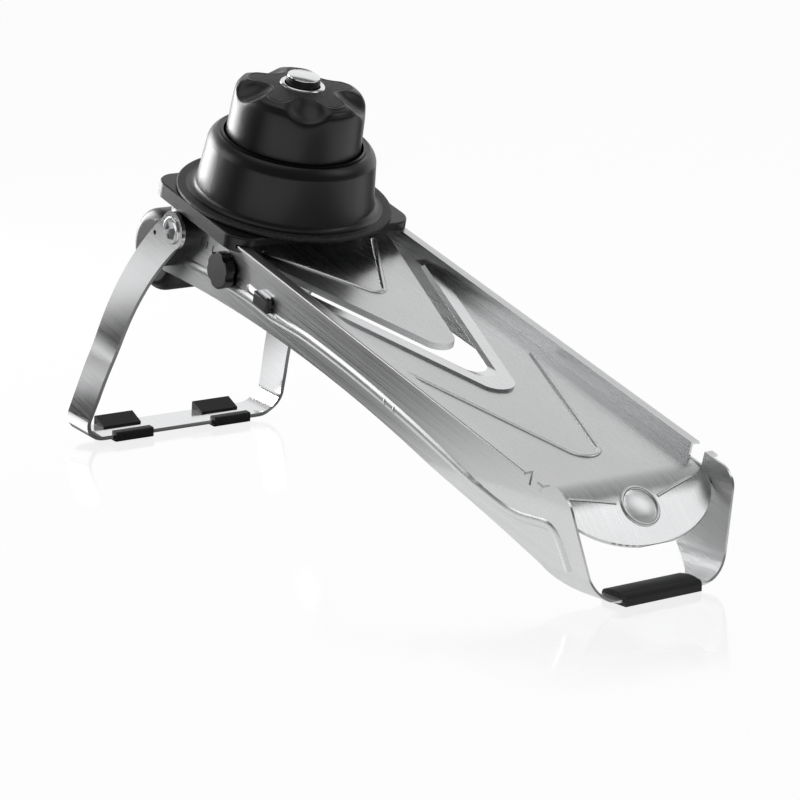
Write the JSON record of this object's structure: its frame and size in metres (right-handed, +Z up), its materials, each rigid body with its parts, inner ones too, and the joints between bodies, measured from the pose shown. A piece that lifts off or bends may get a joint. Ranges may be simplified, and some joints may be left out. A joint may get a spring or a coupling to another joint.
{
  "type": "mandoline slicer",
  "caption": "Standing vegetable slicer: steel rails over a V blade, knob-set infeed plate, folding rear leg and a sliding, turning food pusher",
  "frame": {"origin": "middle of the underside of the front foot pad, on the floor", "axes": "+X forward, down the slope towards the front foot; +Y to the side away from the thickness knob; +Z up"},
  "size_m": [0.4365, 0.1278, 0.2123],
  "materials": {
    "steel": "brushed stainless steel",
    "blade_steel": "ground and polished blade steel",
    "bright_steel": "polished steel",
    "black_plastic": "satin black moulding",
    "black_rubber": "matt black rubber",
    "grip": "fine-grained soft grip",
    "dark_steel": "plain steel"
  },
  "bodies": {
    "frame": {"side_frame": "steel", "deck_plate": "steel", "v_blade": "blade_steel", "blade_rivets": "steel", "front_foot_pad": "black_rubber", "rear_handle": "black_plastic", "pivot_spacers": "black_plastic", "pivot_screws": "bright_steel", "guide_pins": "steel", "shaft_bushes": "black_plastic"},
    "infeed": {"infeed_plate": "steel"},
    "setting": {"thickness_knob": "black_plastic", "cam_shaft": "dark_steel", "lift_cams": "black_plastic", "shaft_clip": "dark_steel"},
    "leg": {"leg_band": "bright_steel", "leg_pad_left": "black_rubber", "leg_pad_right": "black_rubber"},
    "latch": {"latch_slider": "black_plastic", "latch_tab": "bright_steel"},
    "carriage": {"carriage_plate": "black_plastic", "carriage_runners": "black_plastic", "runner_screws": "dark_steel"},
    "turret": {"pusher_collar": "black_plastic", "grip_ring": "grip", "collar_retainer": "black_plastic", "guide_ring": "black_plastic"},
    "plunger": {"pusher_knob": "black_plastic", "grip_pad": "grip", "trim_ring": "bright_steel", "plunger_stem": "black_plastic", "holder_disc": "black_plastic", "holder_spikes": "bright_steel", "holder_screws": "dark_steel"},
    "button": {"push_button": "bright_steel", "button_spring": "dark_steel"}
  },
  "joints": [
    {"name": "carriage_slide", "type": "slide", "parent": "frame", "child": "carriage", "axis": [0.9583, 0, -0.2857], "range_m": [0, 0.2]},
    {"name": "turret_turn", "type": "hinge", "parent": "carriage", "child": "turret", "pos_m": [-0.30007, 0, 0.14484], "axis": [0.2857, 0, 0.9583], "continuous": true},
    {"name": "plunger_press", "type": "slide", "parent": "turret", "child": "plunger", "axis": [-0.2857, 0, -0.9583], "range_m": [0, 0.014]},
    {"name": "button_press", "type": "slide", "parent": "plunger", "child": "button", "axis": [-0.2857, 0, -0.9583], "range_m": [0, 0.003], "stiffness_N_per_m": 400, "springref_m": -0.001, "deforming": ["button_spring"]},
    {"name": "leg_fold", "type": "hinge", "parent": "frame", "child": "leg", "pos_m": [-0.31762, 0, 0.13077], "axis": [0, -1, 0], "range_deg": [0, 100]},
    {"name": "thickness_turn", "type": "hinge", "parent": "frame", "child": "setting", "pos_m": [-0.28087, 0, 0.1147], "axis": [0, 1, 0], "range_deg": [0, 240]},
    {"name": "infeed_lift", "type": "slide", "parent": "frame", "child": "infeed", "axis": [-0.2857, 0, -0.9583], "range_m": [0, 0.008]},
    {"name": "latch_slide", "type": "slide", "parent": "frame", "child": "latch", "axis": [-0.9583, 0, 0.2857], "range_m": [0, 0.012]}
  ],
  "couplings": [
    {"joint": "thickness_turn", "follows": "infeed_lift", "rad_per_m": 523.6}
  ]
}
